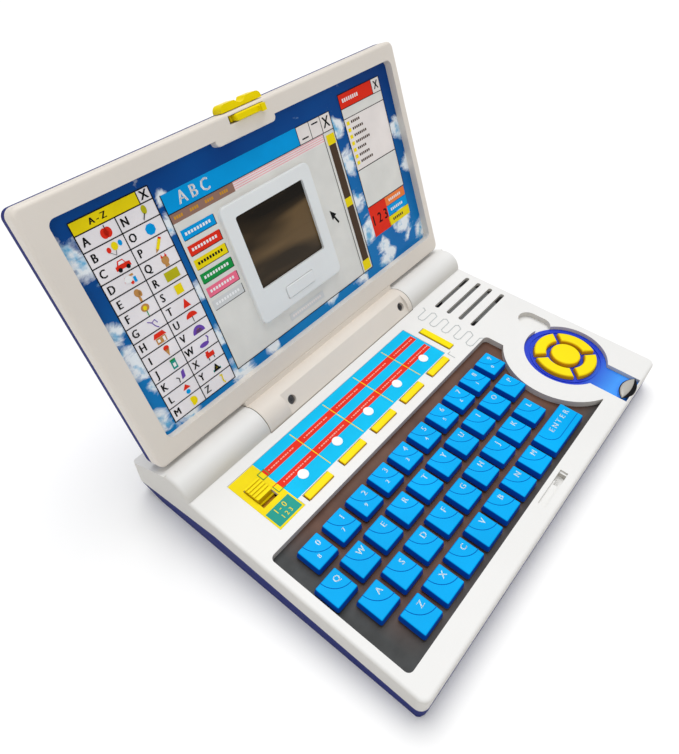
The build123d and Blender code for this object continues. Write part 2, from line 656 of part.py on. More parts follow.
def main():
    for name, make in BASE_PARTS.items():
        export_step(TO_TABLE * make(), f"parts/{name}.step")
    for name, make in LID_PARTS.items():
        export_step(TO_TABLE * OPEN_LID * make(), f"parts/{name}.step")
    square_key = make_key(KEY_SIZE)
    for letter, (x, y) in key_places().items():
        export_step(TO_TABLE * Pos(x, y, 0) * square_key, f"parts/key_{letter}.step")
    enter_key = make_key(ENTER_W)
    export_step(TO_TABLE * Pos(ENTER_X, ENTER_Y, 0) * enter_key, "parts/key_enter.step")


main()
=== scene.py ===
import bpy
import json
import math
from mathutils import Matrix, Vector


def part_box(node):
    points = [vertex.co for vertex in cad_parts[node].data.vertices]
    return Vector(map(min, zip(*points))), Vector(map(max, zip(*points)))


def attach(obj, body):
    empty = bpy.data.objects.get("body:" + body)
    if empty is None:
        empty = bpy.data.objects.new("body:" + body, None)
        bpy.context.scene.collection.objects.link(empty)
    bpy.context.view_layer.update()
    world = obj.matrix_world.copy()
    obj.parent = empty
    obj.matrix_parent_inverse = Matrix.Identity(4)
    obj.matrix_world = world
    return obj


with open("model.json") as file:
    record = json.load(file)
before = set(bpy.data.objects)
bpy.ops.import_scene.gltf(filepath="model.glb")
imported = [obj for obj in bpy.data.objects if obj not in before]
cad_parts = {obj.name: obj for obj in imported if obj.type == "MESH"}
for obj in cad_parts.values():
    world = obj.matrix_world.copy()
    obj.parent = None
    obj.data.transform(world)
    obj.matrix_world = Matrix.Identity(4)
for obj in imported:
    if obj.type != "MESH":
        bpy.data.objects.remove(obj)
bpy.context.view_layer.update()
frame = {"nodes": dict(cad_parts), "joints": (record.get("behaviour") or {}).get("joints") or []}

# ------------------------------------------------------------------
# The two working frames, in millimetres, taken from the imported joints.
# Deck: x across, y to the hinge, z out of the keyboard.
# Lid: x across, y up the lid from beside the hinge axis, z out of its face.
# ------------------------------------------------------------------
joints = {j["name"]: j for j in frame["joints"]}
HINGE = Vector(joints["lid_hinge"]["pos_m"])
X_AXIS = Vector((1, 0, 0))
MM = 0.001


def basis(origin, out):
    """Matrix from millimetres in a plane whose outward normal is out."""
    along = out.cross(X_AXIS)
    m = Matrix.Identity(4)
    for row in range(3):
        m[row][0] = X_AXIS[row] * MM
        m[row][1] = along[row] * MM
        m[row][2] = out[row] * MM
        m[row][3] = origin[row]
    return m


DECK_OUT = -Vector(joints["key_0_press"]["axis"]).normalized()
LID_OUT = -Vector(joints["contrast_press"]["axis"]).normalized()
DECK_BACK = DECK_OUT.cross(X_AXIS)
LID_UP = LID_OUT.cross(X_AXIS)
HINGE_Y, HINGE_Z = 81.87, -1.4          # hinge axis seen from the deck's origin
LID_BELOW, LID_BEHIND = 0.33, 0.5       # lid's origin lies this far from the hinge axis
DECK = basis(HINGE - DECK_BACK * HINGE_Y * MM - DECK_OUT * HINGE_Z * MM, DECK_OUT)
LID = basis(HINGE - LID_UP * LID_BELOW * MM - LID_OUT * LID_BEHIND * MM, LID_OUT)

# Heights of printed and drawn surfaces
KEY_TOP = 1.4        # tops of the keys, over the deck
PANEL = -0.5         # floor of the recess for the printed panel, under the deck
CARD = -7.7          # printed card, under the lid's origin
LAYER = 0.06         # one layer of ink


def node_centre(node, matrix):
    """Centre of a CAD node in the millimetres of a working frame."""
    low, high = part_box(node)
    return matrix.inverted() @ ((low + high) / 2)


# ------------------------------------------------------------------
# Materials
# ------------------------------------------------------------------
def shade(rgb, factor):
    """Colour with alpha, made lighter or darker by a factor."""
    return tuple(min(1.0, max(0.0, c * factor)) for c in rgb) + (1.0,)


def new_material(name):
    """Material with its node tree and its shader."""
    mat = bpy.data.materials.new(name)
    mat.use_nodes = True
    tree = mat.node_tree
    return mat, tree, tree.nodes["Principled BSDF"]


def noise(tree, coords, scale, detail=3.0):
    """Cloudy number between 0 and 1."""
    node = tree.nodes.new("ShaderNodeTexNoise")
    node.inputs["Scale"].default_value = scale
    node.inputs["Detail"].default_value = detail
    tree.links.new(coords, node.inputs["Vector"])
    return node.outputs["Fac"]


def ramp(tree, fac, stops):
    """Colour read from a number: stops are (position, colour with alpha)."""
    node = tree.nodes.new("ShaderNodeValToRGB")
    elements = node.color_ramp.elements
    while len(elements) < len(stops):
        elements.new(0.5)
    for element, (position, colour) in zip(elements, stops):
        element.position = position
        element.color = colour
    tree.links.new(fac, node.inputs["Fac"])
    return node.outputs["Color"]


def blend(tree, fac, first, second):
    """Colour that runs between two over the middle of a noise."""
    return ramp(tree, fac, [(0.3, first + (1,)), (0.7, second + (1,))])


def speckle(tree, fac, rgb, spread):
    """One colour, unevenly lighter and darker by a share."""
    return ramp(tree, fac, [(0.3, shade(rgb, 1 - spread)), (0.7, shade(rgb, 1 + spread))])


def mix_colours(tree, fac, first, second):
    """First colour where fac is 0, second colour where it is 1."""
    mix = tree.nodes.new("ShaderNodeMix")
    mix.data_type = "RGBA"
    tree.links.new(fac, mix.inputs[0])
    tree.links.new(first, mix.inputs[6])
    tree.links.new(second, mix.inputs[7])
    return mix.outputs[2]


def combine(tree, operation, first, second):
    """Two numbers put together by a maths operation."""
    node = tree.nodes.new("ShaderNodeMath")
    node.operation = operation
    tree.links.new(first, node.inputs[0])
    tree.links.new(second, node.inputs[1])
    return node.outputs[0]


def rescale(tree, value, low, high, at_low, at_high):
    """Number that runs from at_low to at_high while value runs from low to high."""
    span = tree.nodes.new("ShaderNodeMapRange")
    span.inputs["From Min"].default_value = low
    span.inputs["From Max"].default_value = high
    span.inputs["To Min"].default_value = at_low
    span.inputs["To Max"].default_value = at_high
    tree.links.new(value, span.inputs["Value"])
    return span.outputs["Result"]


def along_axis(tree, coords, axis, low, high, at_low, at_high):
    """Number that runs between two values along an axis of the shared frame, in metres."""
    split = tree.nodes.new("ShaderNodeSeparateXYZ")
    tree.links.new(coords, split.inputs[0])
    return rescale(tree, split.outputs[axis], low, high, at_low, at_high)


def object_coords(tree):
    """Place in the shared frame, in metres."""
    return tree.nodes.new("ShaderNodeTexCoord").outputs["Object"]


def bump(tree, shader, height, strength, distance):
    """Fine relief from a number, distance in metres."""
    node = tree.nodes.new("ShaderNodeBump")
    node.inputs["Strength"].default_value = strength
    node.inputs["Distance"].default_value = distance
    tree.links.new(height, node.inputs["Height"])
    tree.links.new(node.outputs["Normal"], shader.inputs["Normal"])


def plastic(name, rgb, rough=0.35, spread=0.05, scale=25.0, grain=1800.0, strength=0.12,
            coat=0.0, specular=0.5):
    """Moulded plastic: slight unevenness in colour and a fine surface grain."""
    mat, tree, shader = new_material(name)
    coords = object_coords(tree)
    colour = speckle(tree, noise(tree, coords, scale), rgb, spread)
    tree.links.new(colour, shader.inputs["Base Color"])
    shader.inputs["Roughness"].default_value = rough
    shader.inputs["Coat Weight"].default_value = coat
    shader.inputs["Coat Roughness"].default_value = 0.15
    shader.inputs["Specular IOR Level"].default_value = specular
    bump(tree, shader, noise(tree, coords, grain, 2.0), strength, 0.00008)
    return mat


def side_shaded_plastic(name, top_rgb, shaded_side_rgb, out, rough=0.3, specular=0.25, spread=0.06):
    """Plastic with painted shade: its upright faces get a deeper colour than its top."""
    mat, tree, shader = new_material(name)
    coords = object_coords(tree)
    normal = tree.nodes.new("ShaderNodeTexCoord").outputs["Normal"]
    dot = tree.nodes.new("ShaderNodeVectorMath")
    dot.operation = "DOT_PRODUCT"
    tree.links.new(normal, dot.inputs[0])
    dot.inputs[1].default_value = out
    facing = ramp(tree, dot.outputs["Value"], [(0.35, (0, 0, 0, 1)), (0.93, (1, 1, 1, 1))])
    speck = noise(tree, coords, 30.0)
    top = speckle(tree, speck, top_rgb, spread)
    side = speckle(tree, speck, shaded_side_rgb, spread)
    tree.links.new(mix_colours(tree, facing, side, top), shader.inputs["Base Color"])
    shader.inputs["Roughness"].default_value = rough
    shader.inputs["Specular IOR Level"].default_value = specular
    bump(tree, shader, noise(tree, coords, 1500.0, 2.0), 0.12, 0.00008)
    return mat


def print_ink(name, rgb, rough=0.4):
    """Printed ink with a faint unevenness."""
    return plastic(name, rgb, rough, 0.05, 60.0, 2500.0, 0.05, specular=0.06)


def puff_field(tree, coords, puffs):
    """Number that rises towards 1 inside a set of round puffs: (x, v, radius) on the card."""
    total = None
    for x, v, radius in puffs:
        gap = tree.nodes.new("ShaderNodeVectorMath")
        gap.operation = "DISTANCE"
        tree.links.new(coords, gap.inputs[0])
        gap.inputs[1].default_value = LID @ Vector((x, v, CARD))
        near = rescale(tree, gap.outputs["Value"], 0.0, radius * MM, 1.0, 0.0)
        total = near if total is None else combine(tree, "MAXIMUM", total, near)
    return total


PUFFS = ((-120, 134, 15), (-113, 124, 14), (-118, 90, 11), (-114, 72, 15), (-108, 52, 14),
         (-118, 36, 12), (-104, 30, 13), (-66, 123, 9), (-63, 137, 7), (-66, 84, 9),
         (-68, 56, 13), (-60, 34, 14), (-36, 33, 10), (69, 126, 10), (70, 104, 13),
         (68, 80, 12), (71, 56, 15), (126, 108, 14), (128, 84, 12), (84, 38, 16),
         (106, 46, 17), (126, 34, 15), (21, 34, 10), (54, 33, 12))


def sky():
    """Printed sky: deep blue with broken white clouds."""
    mat, tree, shader = new_material("printed sky")
    coords = object_coords(tree)
    stretch = tree.nodes.new("ShaderNodeMapping")
    stretch.inputs["Scale"].default_value = (0.8, 1.0, 1.3)
    tree.links.new(coords, stretch.inputs["Vector"])
    wisps = tree.nodes.new("ShaderNodeTexNoise")
    wisps.inputs["Scale"].default_value = 75.0
    wisps.inputs["Detail"].default_value = 6.0
    wisps.inputs["Roughness"].default_value = 0.6
    wisps.inputs["Distortion"].default_value = 0.5
    tree.links.new(stretch.outputs["Vector"], wisps.inputs["Vector"])
    spread = tree.nodes.new("ShaderNodeMath")
    spread.operation = "MULTIPLY_ADD"
    tree.links.new(wisps.outputs["Fac"], spread.inputs[0])
    spread.inputs[1].default_value = 2.0
    spread.inputs[2].default_value = -1.0
    density = combine(tree, "ADD", puff_field(tree, coords, PUFFS), spread.outputs[0])
    cloud = ramp(tree, density, [(0.34, (0, 0, 0, 1)), (0.48, (0.45, 0.45, 0.45, 1)),
                                 (0.66, (1, 1, 1, 1))])
    tint = noise(tree, coords, 14.0, 2.0)
    deep = blend(tree, tint, (0.0, 0.040, 0.21), (0.0, 0.090, 0.36))
    pale = blend(tree, tint, (0.0, 0.150, 0.46), (0.005, 0.24, 0.58))
    blue = mix_colours(tree, along_axis(tree, coords, 2, 0.06, 0.15, 1.0, 0.0), deep, pale)
    white = ramp(tree, noise(tree, coords, 150.0, 4.0), [(0.34, (0.15, 0.46, 0.72, 1)),
                                                         (0.50, (0.84, 0.89, 0.93, 1))])
    tree.links.new(mix_colours(tree, cloud, blue, white), shader.inputs["Base Color"])
    shader.inputs["Roughness"].default_value = 0.35
    shader.inputs["Specular IOR Level"].default_value = 0.12
    return mat


def key_plate_look():
    """Matt plate: reddish brown among the keys, dark grey along the front and left."""
    mat, tree, shader = new_material("key plate")
    coords = object_coords(tree)
    grain = noise(tree, coords, 45.0, 4.0)
    brown = blend(tree, grain, (0.085, 0.036, 0.022), (0.16, 0.075, 0.046))
    grey = blend(tree, grain, (0.028, 0.030, 0.030), (0.075, 0.080, 0.082))
    front = along_axis(tree, coords, 1, -0.105, -0.088, 0.0, 1.0)
    left = along_axis(tree, coords, 0, -0.122, -0.100, 0.0, 1.0)
    inside = combine(tree, "MULTIPLY", front, left)
    tree.links.new(mix_colours(tree, inside, grey, brown), shader.inputs["Base Color"])
    shader.inputs["Roughness"].default_value = 0.5
    shader.inputs["Specular IOR Level"].default_value = 0.25
    bump(tree, shader, noise(tree, coords, 900.0, 2.0), 0.25, 0.0001)
    return mat


def tray_look():
    """Blue tray, deeper in the dish and paler along the handle, where the paler colour is a
    painted reflection.
    """
    mat, tree, shader = new_material("thumb pad blue")
    coords = object_coords(tree)
    speck = noise(tree, coords, 30.0)
    deep = blend(tree, speck, (0.002, 0.030, 0.50), (0.005, 0.042, 0.64))
    # pale: painted reflection along the glossy handle
    pale = blend(tree, speck, (0.03, 0.26, 0.86), (0.05, 0.33, 0.92))
    along = along_axis(tree, coords, 1, -0.104, -0.086, 1.0, 0.0)
    tree.links.new(mix_colours(tree, along, deep, pale), shader.inputs["Base Color"])
    shader.inputs["Roughness"].default_value = 0.25
    bump(tree, shader, noise(tree, coords, 1500.0, 2.0), 0.1, 0.00008)
    return mat


def brushed(name, rgb, rough=0.3):
    """Metal with a fine grain."""
    mat = plastic(name, rgb, rough, 0.05, 80.0, 3000.0, 0.1)
    mat.node_tree.nodes["Principled BSDF"].inputs["Metallic"].default_value = 1.0
    return mat


def smoked():
    """Smoked window: near black, with faint warm streaks of painted reflection."""
    mat, tree, shader = new_material("smoked window")
    coords = object_coords(tree)
    stretch = tree.nodes.new("ShaderNodeMapping")
    stretch.inputs["Rotation"].default_value = (0.0, 0.35, 0.0)
    stretch.inputs["Scale"].default_value = (8.0, 30.0, 45.0)
    tree.links.new(coords, stretch.inputs["Vector"])
    # warm streaks: painted reflection on the glass
    reflection_streak = noise(tree, stretch.outputs["Vector"], 1.0, 2.0)
    colour = ramp(tree, reflection_streak, [(0.42, (0.008, 0.005, 0.002, 1)),
                                 (0.54, (0.030, 0.018, 0.007, 1)),
                                 (0.66, (0.14, 0.085, 0.035, 1))])
    tree.links.new(colour, shader.inputs["Base Color"])
    shader.inputs["Roughness"].default_value = 0.15
    shader.inputs["Specular IOR Level"].default_value = 0.2
    return mat


# white case: the darker second colour is painted shade on its upright sides
WHITE = side_shaded_plastic("white case", (0.79, 0.785, 0.77), (0.66, 0.64, 0.60), DECK_OUT,
                 0.42, 0.3, 0.012)
BEZEL = plastic("lid white", (0.77, 0.71, 0.64), 0.45, 0.03, 14.0, specular=0.3)
NAVY = plastic("navy shell", (0.002, 0.010, 0.15), 0.4, 0.08, specular=0.03)
# keys: the darker second colour is painted shade on their upright sides
KEY_BLUE = side_shaded_plastic("key blue", (0.0, 0.40, 0.86), (0.0, 0.07, 0.46), DECK_OUT, 0.35, 0.04)
TRAY_BLUE = tray_look()
# yellow plastic: the orange second colour is painted shade on its upright sides
YELLOW = side_shaded_plastic("yellow plastic", (0.90, 0.745, 0.0), (0.72, 0.46, 0.0), DECK_OUT, 0.35,
                  0.08, 0.03)
LATCH_YELLOW = plastic("latch yellow", (0.90, 0.71, 0.0), 0.35, 0.04, specular=0.08)
# yellow silicone: the orange second colour is painted shade on its upright sides
SILICONE = side_shaded_plastic("yellow silicone", (0.92, 0.74, 0.0), (0.80, 0.42, 0.0), DECK_OUT, 0.45,
                    0.12, 0.03)
PLATE = key_plate_look()
SILVER = plastic("silver frame", (0.80, 0.82, 0.82), 0.36, 0.03, 20.0)
# dark grey: the screws are darkened as painted shade of their deep holes
SHADED_STEEL = brushed("screw steel", (0.16, 0.16, 0.17))
RUBBER = plastic("grey rubber", (0.2, 0.2, 0.21), 0.7)
BOARD = plastic("board green", (0.02, 0.12, 0.05), 0.4, 0.15)
CELL = plastic("cell wrap", (0.05, 0.16, 0.10), 0.35, 0.1)
SPEAKER_GREY = plastic("speaker grey", (0.13, 0.135, 0.135), 0.6, 0.2)
EMBOSS = plastic("embossed line", (0.46, 0.49, 0.485), 0.5)
# dark blue: painted shade standing for the depth of the engraved groove on each key
GROOVE_SHADE = plastic("key groove", (0.0, 0.12, 0.50), 0.5, 0.05, specular=0.02)
# dark brown: painted shadow in the button gaps
GAP_SHADOW = plastic("gap", (0.07, 0.05, 0.02), 0.6, specular=0.1)
LENS = plastic("badge silver", (0.40, 0.385, 0.35), 0.3, 0.14, 60.0, coat=0.3)
SKY = sky()
GLASS = smoked()

INK_WHITE = print_ink("ink white", (0.90, 0.90, 0.90))
INK_LEGEND = print_ink("legend white", (0.72, 0.90, 0.98))
# black ink, also used for the painted shadow of the badge crescent
BLACK_INK_AND_SHADOW = print_ink("black ink and shadow", (0.008, 0.008, 0.009))
INK_RED = print_ink("ink red", (0.78, 0.03, 0.012))
INK_YELLOW = print_ink("ink yellow", (0.88, 0.70, 0.005))
INK_CYAN = print_ink("ink cyan", (0.0, 0.33, 0.76))
INK_PANEL = print_ink("panel cyan", (0.0, 0.50, 0.84))
INK_GREEN = print_ink("ink green", (0.01, 0.30, 0.06))
INK_PINK = print_ink("ink pink", (0.90, 0.17, 0.28))
INK_PALE = print_ink("ink pale", (0.86, 0.80, 0.77))
INK_CELL = print_ink("ink cell", (0.88, 0.84, 0.86))
INK_GREY = print_ink("ink grey", (0.66, 0.67, 0.67))
INK_BODY = print_ink("ink window grey", (0.76, 0.75, 0.71))
INK_BROWN = print_ink("ink brown", (0.30, 0.17, 0.13))
INK_ROSE = print_ink("ink rose", (0.86, 0.42, 0.36))
INK_AMBER = print_ink("ink amber", (0.62, 0.30, 0.03))
INK_DARK = print_ink("ink dark brown", (0.075, 0.045, 0.028))
INK_ORANGE = print_ink("ink orange", (0.90, 0.22, 0.05))
INK_OLIVE = print_ink("ink olive", (0.50, 0.46, 0.01))
INK_TAN = print_ink("ink tan", (0.55, 0.27, 0.08))
INK_PURPLE = print_ink("ink purple", (0.16, 0.07, 0.42))
INK_TEAL = print_ink("ink teal", (0.02, 0.32, 0.26))

# Look of every CAD node but the keys, which are all blue
CAD_LOOK = {
    "upper_case": WHITE, "lower_case": NAVY, "battery_door": NAVY, "batteries": CELL,
    "case_screws": SHADED_STEEL, "key_plate": PLATE, "rubber_mat": RUBBER, "circuit_board": BOARD,
    "speaker": SPEAKER_GREY, "dpad_housing": TRAY_BLUE, "direction_buttons": SILICONE,
    "centre_button": SILICONE, "mode_buttons": SILICONE, "power_button": YELLOW,
    "mode_slider": YELLOW, "lid_front": BEZEL, "lid_back": NAVY, "screen_card": SKY,
    "lcd_frame": SILVER, "lcd_window": GLASS, "contrast_button": SILVER, "latch": LATCH_YELLOW,
    "lid_screws": SHADED_STEEL,
}
for name, obj in frame["nodes"].items():
    obj.data.materials.clear()
    obj.data.materials.append(CAD_LOOK.get(name, KEY_BLUE))


# ------------------------------------------------------------------
# Mesh helpers. Points are in millimetres of a working frame.
# ------------------------------------------------------------------
def add_mesh(name, matrix, verts, faces, material, body):
    """Piece that rides a body."""
    name = name.replace(" ", "_")
    mesh = bpy.data.meshes.new(name)
    mesh.from_pydata([matrix @ Vector(v) for v in verts], [], faces)
    mesh.validate()
    mesh.update()
    mesh.materials.append(material)
    obj = bpy.data.objects.new(name, mesh)
    bpy.context.scene.collection.objects.link(obj)
    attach(obj, body)
    return obj


def box_faces(x0, x1, y0, y1, z0, z1):
    """Corners and faces of a box."""
    verts = [(x, y, z) for z in (z0, z1) for x, y in ((x0, y0), (x1, y0), (x1, y1), (x0, y1))]
    faces = [(3, 2, 1, 0), (4, 5, 6, 7), (0, 1, 5, 4), (1, 2, 6, 5), (2, 3, 7, 6), (3, 0, 4, 7)]
    return verts, faces


def tiles(name, matrix, rects, z0, z1, material, body):
    """Several flat rectangles (x0, x1, y0, y1) as one mesh."""
    verts, faces = [], []
    for x0, x1, y0, y1 in rects:
        v, f = box_faces(x0, x1, y0, y1, z0, z1)
        faces += [tuple(i + len(verts) for i in face) for face in f]
        verts += v
    return add_mesh(name, matrix, verts, faces, material, body)


def plates(name, matrix, outlines, z0, z1, material, body):
    """Several flat outlines, each a list of (x, y), as one mesh."""
    verts, faces = [], []
    for points in outlines:
        n, base = len(points), len(verts)
        verts += [(x, y, z0) for x, y in points] + [(x, y, z1) for x, y in points]
        faces.append(tuple(base + i for i in reversed(range(n))))
        faces.append(tuple(base + n + i for i in range(n)))
        faces += [(base + i, base + (i + 1) % n, base + n + (i + 1) % n, base + n + i)
                  for i in range(n)]
    return add_mesh(name, matrix, verts, faces, material, body)


FULL_TURN = 2 * math.pi


def round_outline(x, y, rx, ry=None, steps=28, start=0.0, sweep=FULL_TURN):
    """Ellipse, or a part of one closed by its chord."""
    ry = rx if ry is None else ry
    count = steps if sweep == FULL_TURN else steps + 1
    angles = [start + sweep * i / steps for i in range(count)]
    return [(x + rx * math.cos(a), y + ry * math.sin(a)) for a in angles]


def mark_row(x, y0, y1, pitch, width, count):
    """Row of small upright marks that stands in for a word."""
    return [(x + pitch * k, x + pitch * k + width, y0, y1) for k in range(count)]


def ribbon(points, width):
    """Quads along an open line, each a four-point outline."""
    quads = []
    for (xa, ya), (xb, yb) in zip(points, points[1:]):
        length = math.hypot(xb - xa, yb - ya)
        nx, ny = -(yb - ya) / length * width / 2, (xb - xa) / length * width / 2
        ex, ey = (xb - xa) / length * width * 0.3, (yb - ya) / length * width * 0.3
        quads.append([(xa + nx - ex, ya + ny - ey), (xa - nx - ex, ya - ny - ey),
                      (xb - nx + ex, yb - ny + ey), (xb + nx + ex, yb + ny + ey)])
    return quads


CAPITAL = 0.7        # height of a capital letter in the font, at size 1


def letters(name, matrix, words, z, depth, material, body, bold=0.0):
    """Words given as (text, x, y, height, stretch), centred, as one mesh.

    With bold, each word is drawn twice, shifted to either side."""
    if bold:
        words = [(t, x + side * bold, y, h, k) for t, x, y, h, k in words for side in (-1, 1)]
    verts, faces = [], []
    for text, x, y, height, stretch in words:
        curve = bpy.data.curves.new("letter", "FONT")
        curve.body = text
        curve.align_x = "CENTER"
        curve.align_y = "CENTER"
        curve.size = 1.0
        curve.resolution_u = 2
        source = bpy.data.objects.new("letter", curve)
        bpy.context.scene.collection.objects.link(source)
        flat = bpy.data.meshes.new_from_object(source.evaluated_get(
            bpy.context.evaluated_depsgraph_get()))
        scale = height / CAPITAL
        base = len(verts)
        verts += [(x + v.co.x * scale * stretch, y + v.co.y * scale, z + depth)
                  for v in flat.vertices]
        faces += [tuple(base + i for i in p.vertices) for p in flat.polygons]
        bpy.data.objects.remove(source)
        bpy.data.curves.remove(curve)
        bpy.data.meshes.remove(flat)
    return add_mesh(name, matrix, verts, faces, material, body)


# ------------------------------------------------------------------
# Keys: engraved arc and white legend on each top
# ------------------------------------------------------------------
# small second digit on each digit key
SECOND = {"0": "8", "1": "7", "2": "9", "3": "2", "4": "3", "5": "4", "6": "5", "7": "6",
          "8": "1", "9": "0"}
LINE_W = 0.4                            # width of a groove
ARC_CENTRE, ARC_RADIUS = 6.9, 10.4
# groove across a key: a quarter circle around its rear right corner, drawn as a dark strip of
# painted shade
arc_line = [(ARC_CENTRE + ARC_RADIUS * math.cos(a), ARC_CENTRE + ARC_RADIUS * math.sin(a))
            for a in [math.radians(178 + 94 * i / 14) for i in range(15)]]
# groove on the enter key: straight along the front, bending back at the left
enter_line = [(17.2, -3.9), (4.0, -3.9)] + [
    (-5.0 + 8.0 * math.cos(a), 4.1 + 8.0 * math.sin(a))
    for a in [math.radians(270 - 90 * i / 8) for i in range(9)]] + [(-13.0, 6.4)]
for name in sorted(frame["nodes"]):
    if not name.startswith("key_") or name == "key_plate":
        continue
    legend = name[4:].upper()
    body = name + "_body"
    centre = node_centre(name, DECK)
    x, y = centre.x, centre.y
    line = enter_line if legend == "ENTER" else arc_line
    quads = ribbon([(x + px, y + py) for px, py in line], LINE_W)
    plates("groove " + name, DECK, quads, KEY_TOP, KEY_TOP + 0.03, GROOVE_SHADE, body)
    if legend == "ENTER":
        words = [(c, x - 4.6 + 4.6 * i, y + 2.0, 3.3, 1.05) for i, c in enumerate(legend)]
    else:
        words = [(legend, x + 3.4, y + 2.7, 3.3, 1.0)]
        if legend in SECOND:
            words.append((SECOND[legend], x - 1.6, y - 2.6, 2.3, 0.95))
    letters("legend " + name, DECK, words, KEY_TOP, 0.06, INK_LEGEND, body, 0.08)

# ------------------------------------------------------------------
# Printed panel on the base
# ------------------------------------------------------------------
PANEL_TOP = PANEL + 0.3     # face of the sheet
MODE_X = (-81.4, -51.9, -22.4, 7.1, 36.6)   # the five picture buttons
STRIPES = ((50.3, 55.3), (38.8, 43.8))


def panel_tiles(name, rects, level, material):
    """Ink on the panel sheet, some layers up."""
    low = PANEL_TOP + LAYER * level
    return tiles(name, DECK, rects, low, low + LAYER, material, "base")


tiles("panel sheet", DECK, [(-95.0, 50.0, 28.5, 62.4)], PANEL, PANEL_TOP, INK_PANEL, "base")
panel_tiles("panel stripes", [(-95.0, 48.6, y0, y1) for y0, y1 in STRIPES], 0, INK_RED)
dividers = [(x - 0.25, x + 0.25, 29.5, 61.0) for x in (-66.0, -36.4, -6.7, 23.0)]
panel_tiles("panel dividers", dividers, 1, INK_YELLOW)
dots = [round_outline(x, 36.6, 3.2) for x in (-81.2, -51.7, -22.3, 7.2, 36.7)]
plates("panel dots", DECK, dots, PANEL_TOP + 2 * LAYER, PANEL_TOP + 2 * LAYER + 0.08, INK_WHITE,
       "base")
marks = []
for i in range(5):
    for row_y, count in ((52.8, 11), (41.3, 12)):
        for k in range(count):
            x0 = -92.0 + 29.5 * i + 1.9 * k
            marks.append((x0, x0 + (1.4 if k % 4 else 0.8), row_y - 0.35, row_y + 0.35))
panel_tiles("panel small marks", marks, 2, INK_ROSE)

# yellow label around the slider, with the slot's floor below
LABEL_X0, LABEL_X1, LABEL_Y0, LABEL_Y1 = -114.0, -95.0, 22.8, 62.2
SLOT_X0, SLOT_X1, SLOT_Y0, SLOT_Y1 = -110.6, -99.4, 38.1, 53.8
tiles("label sheet", DECK, [(LABEL_X0, SLOT_X0, LABEL_Y0, LABEL_Y1),
                            (SLOT_X1, LABEL_X1, LABEL_Y0, LABEL_Y1),
                            (SLOT_X0, SLOT_X1, SLOT_Y1, LABEL_Y1),
                            (SLOT_X0, SLOT_X1, LABEL_Y0, SLOT_Y0)],
      PANEL, PANEL_TOP, INK_YELLOW, "base")
panel_tiles("label block", [(-113.0, -96.0, 24.0, 34.6)], 0, INK_TEAL)


def square_lines(x0, x1, y0, y1, width=0.4):
    """Front, rear, left and right line of a rectangle."""
    return [(x0, x1, y0, y0 + width), (x0, x1, y1 - width, y1), (x0, x0 + width, y0, y1),
            (x1 - width, x1, y0, y1)]


rear_square = square_lines(-98.4, -93.0, 50.4, 55.6)
front, rear, left, right = square_lines(-98.4, -93.0, 38.6, 43.8)
low = PANEL_TOP + 2 * LAYER
tiles("label squares", DECK, rear_square + [front, left], low, low + 0.08, INK_GREEN, "base")
tiles("label square edges", DECK, [rear, right], low, low + 0.08, INK_RED, "base")
tiles("slot floor", DECK, [(-110.4, -99.6, 38.3, 53.6)], -4.9, -4.7, INK_AMBER, "base")

# dark gaps behind and to the left of the buttons in the deck: painted shadow in the real gaps,
# drawn only on these two sides
buttons = [(x, 24.8, 10.3, 2.6) for x in MODE_X] + [(57.7, 40.2, 2.9, 12.5)]
gap_shadows = []
for x, y, half_x, half_y in buttons:
    gap_shadows += [(x - half_x - 0.25, x + half_x, y + half_y, y + half_y + 0.3),
             (x - half_x - 0.3, x - half_x, y - half_y, y + half_y + 0.3)]
tiles("button gaps", DECK, gap_shadows, 0.0, 0.03, GAP_SHADOW, "base")

# words on the label's block
words = [("I - 0", -104.5, 31.6, 3.4, 1.0), ("1 2 3", -104.5, 26.8, 2.6, 1.0)]
letters("label words", DECK, words, PANEL_TOP + LAYER, LAYER, INK_YELLOW, "base")

# ------------------------------------------------------------------
# Printed card in the lid
# ------------------------------------------------------------------
def card_tiles(name, rects, level, material):
    """Rectangles (x0, x1, v0, v1) on the card, some layers up."""
    low = CARD + LAYER * level
    return tiles(name, LID, rects, low, low + LAYER, material, "lid")


def card_shapes(name, outlines, level, material):
    """Outlines on the card, some layers up."""
    low = CARD + LAYER * level
    return plates(name, LID, outlines, low, low + LAYER, material, "lid")


def card_words(name, words, level, material, bold=0.2):
    """Words on the card, some layers up."""
    return letters(name, LID, words, CARD + LAYER * level, LAYER, material, "lid", bold)


# picture chart: thirteen rows, two columns, under a header with a cross
ROWS = 13
CX0, CX1, CV0, CV1 = -112.1, -67.8, 30.0, 144.6
HEAD = 138.2                    # foot of the header
PITCH = (HEAD - CV0) / ROWS
MID = -90.3                     # line between the columns
RULE = 0.28                     # half width of a line
card_tiles("chart sheet", [(CX0, CX1, CV0, CV1)], 0, INK_CELL)
card_tiles("chart header", [(CX0, -75.2, HEAD, CV1)], 1, INK_YELLOW)
rules = [(CX0 - 0.3, CX1 + 0.3, HEAD - PITCH * i - RULE, HEAD - PITCH * i + RULE)
         for i in range(ROWS + 1)]
rules += [(x - RULE, x + RULE, CV0, CV1) for x in (CX0, CX1)]
rules += [(MID - RULE, MID + RULE, CV0, HEAD), (-75.4, -74.9, HEAD, CV1),
          (CX0, CX1, CV1 - RULE, CV1 + RULE)]
card_tiles("chart rules", rules, 2, BLACK_INK_AND_SHADOW)
words = []
for i in range(ROWS):
    v = HEAD - PITCH * (i + 0.5)
    words.append((chr(ord("A") + i), -108.4, v, 4.3, 0.85))
    words.append((chr(ord("N") + i), -86.6, v, 4.3, 0.85))
words.append(("A - Z", -98.0, 141.3, 3.0, 1.0))
words.append(("X", -71.5, 141.4, 4.4, 1.0))
card_words("chart letters", words, 2, BLACK_INK_AND_SHADOW)

